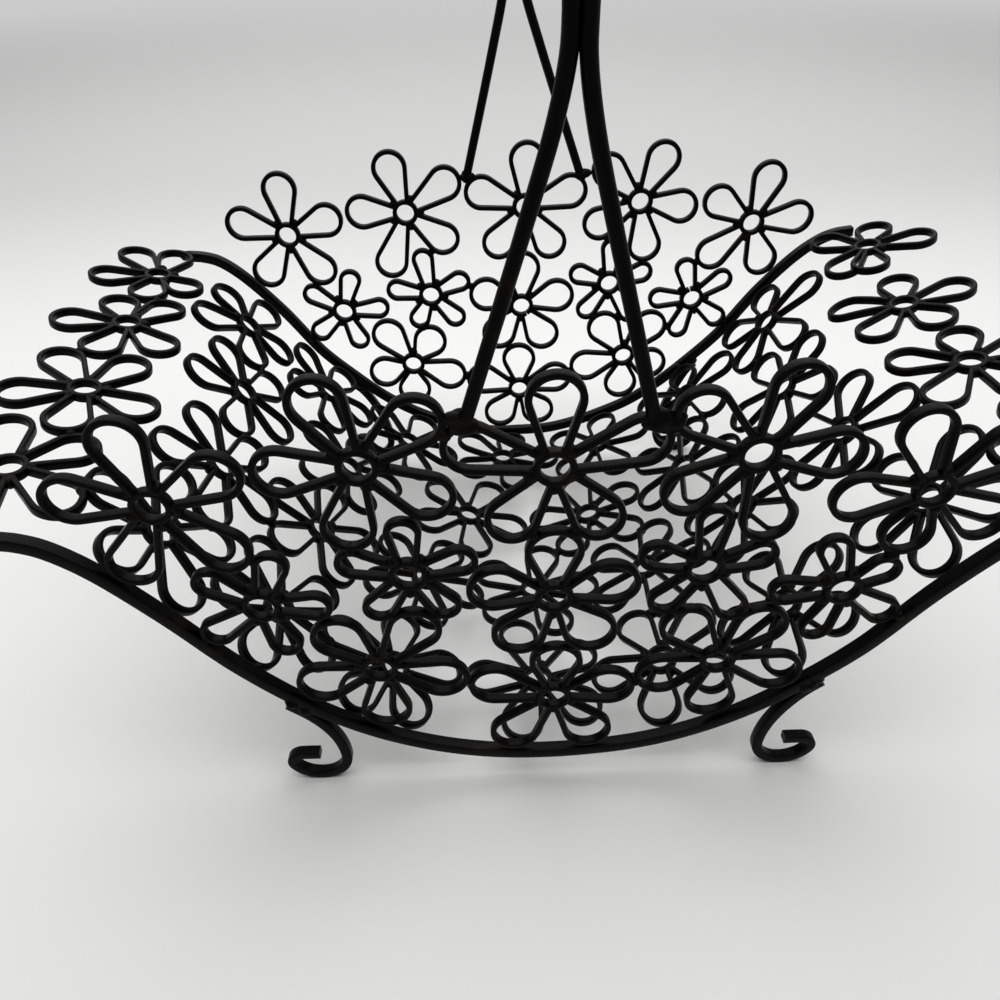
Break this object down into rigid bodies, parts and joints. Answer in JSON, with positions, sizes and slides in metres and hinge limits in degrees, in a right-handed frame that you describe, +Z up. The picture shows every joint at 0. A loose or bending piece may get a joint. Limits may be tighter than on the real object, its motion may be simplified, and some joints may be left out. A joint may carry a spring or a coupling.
{
  "type": "wire basket",
  "caption": "Trough-shaped basket welded from bent strip flowers, on two bent rails with scroll feet and an overhead handle of twin rods.",
  "frame": {"origin": "on the ground, midway between the four scroll feet", "axes": "+X along the basket to the right, +Y from the front wall to the back wall, +Z up"},
  "size_m": [0.5259, 0.2838, 0.4406],
  "materials": {
    "black_paint_strip": "satin black paint over steel strip",
    "black_paint_bar": "satin black paint over square steel bar",
    "black_paint_rod": "satin black paint over round steel rod"
  },
  "bodies": {
    "root": {"back_left_foot": "black_paint_bar", "back_rail": "black_paint_bar", "back_right_foot": "black_paint_bar", "back_wall_inner_left_pair": "black_paint_strip", "back_wall_inner_right_pair": "black_paint_strip", "back_wall_middle_pair": "black_paint_strip", "back_wall_outer_left_pair": "black_paint_strip", "back_wall_outer_right_pair": "black_paint_strip", "back_wall_top_left_flower": "black_paint_strip", "back_wall_top_middle_flower": "black_paint_strip", "back_wall_top_right_flower": "black_paint_strip", "floor_row_1_flower_1": "black_paint_strip", "floor_row_1_flower_2": "black_paint_strip", "floor_row_1_flower_3": "black_paint_strip", "floor_row_1_flower_4": "black_paint_strip", "floor_row_1_flower_5": "black_paint_strip", "floor_row_1_flower_6": "black_paint_strip", "floor_row_1_flower_7": "black_paint_strip", "floor_row_1_flower_8": "black_paint_strip", "floor_row_1_flower_9": "black_paint_strip", "floor_row_2_flower_1": "black_paint_strip", "floor_row_2_flower_2": "black_paint_strip", "floor_row_2_flower_3": "black_paint_strip", "floor_row_2_flower_4": "black_paint_strip", "floor_row_2_flower_5": "black_paint_strip", "floor_row_2_flower_6": "black_paint_strip", "floor_row_2_flower_7": "black_paint_strip", "floor_row_2_flower_8": "black_paint_strip", "floor_row_3_flower_1": "black_paint_strip", "floor_row_3_flower_2": "black_paint_strip", "floor_row_3_flower_3": "black_paint_strip", "floor_row_3_flower_4": "black_paint_strip", "floor_row_3_flower_5": "black_paint_strip", "floor_row_3_flower_6": "black_paint_strip", "floor_row_3_flower_7": "black_paint_strip", "floor_row_3_flower_8": "black_paint_strip", "floor_row_3_flower_9": "black_paint_strip", "floor_row_4_flower_1": "black_paint_strip", "floor_row_4_flower_2": "black_paint_strip", "floor_row_4_flower_3": "black_paint_strip", "floor_row_4_flower_4": "black_paint_strip", "floor_row_4_flower_5": "black_paint_strip", "floor_row_4_flower_6": "black_paint_strip", "floor_row_4_flower_7": "black_paint_strip", "floor_row_4_flower_8": "black_paint_strip", "floor_row_4_flower_9": "black_paint_strip", "front_left_foot": "black_paint_bar", "front_rail": "black_paint_bar", "front_right_foot": "black_paint_bar", "front_wall_inner_left_pair": "black_paint_strip", "front_wall_inner_right_pair": "black_paint_strip", "front_wall_middle_pair": "black_paint_strip", "front_wall_outer_left_pair": "black_paint_strip", "front_wall_outer_right_pair": "black_paint_strip", "front_wall_top_left_flower": "black_paint_strip", "front_wall_top_middle_flower": "black_paint_strip", "front_wall_top_right_flower": "black_paint_strip", "handle_rod_left": "black_paint_rod", "handle_rod_right": "black_paint_rod"}
  },
  "joints": []
}
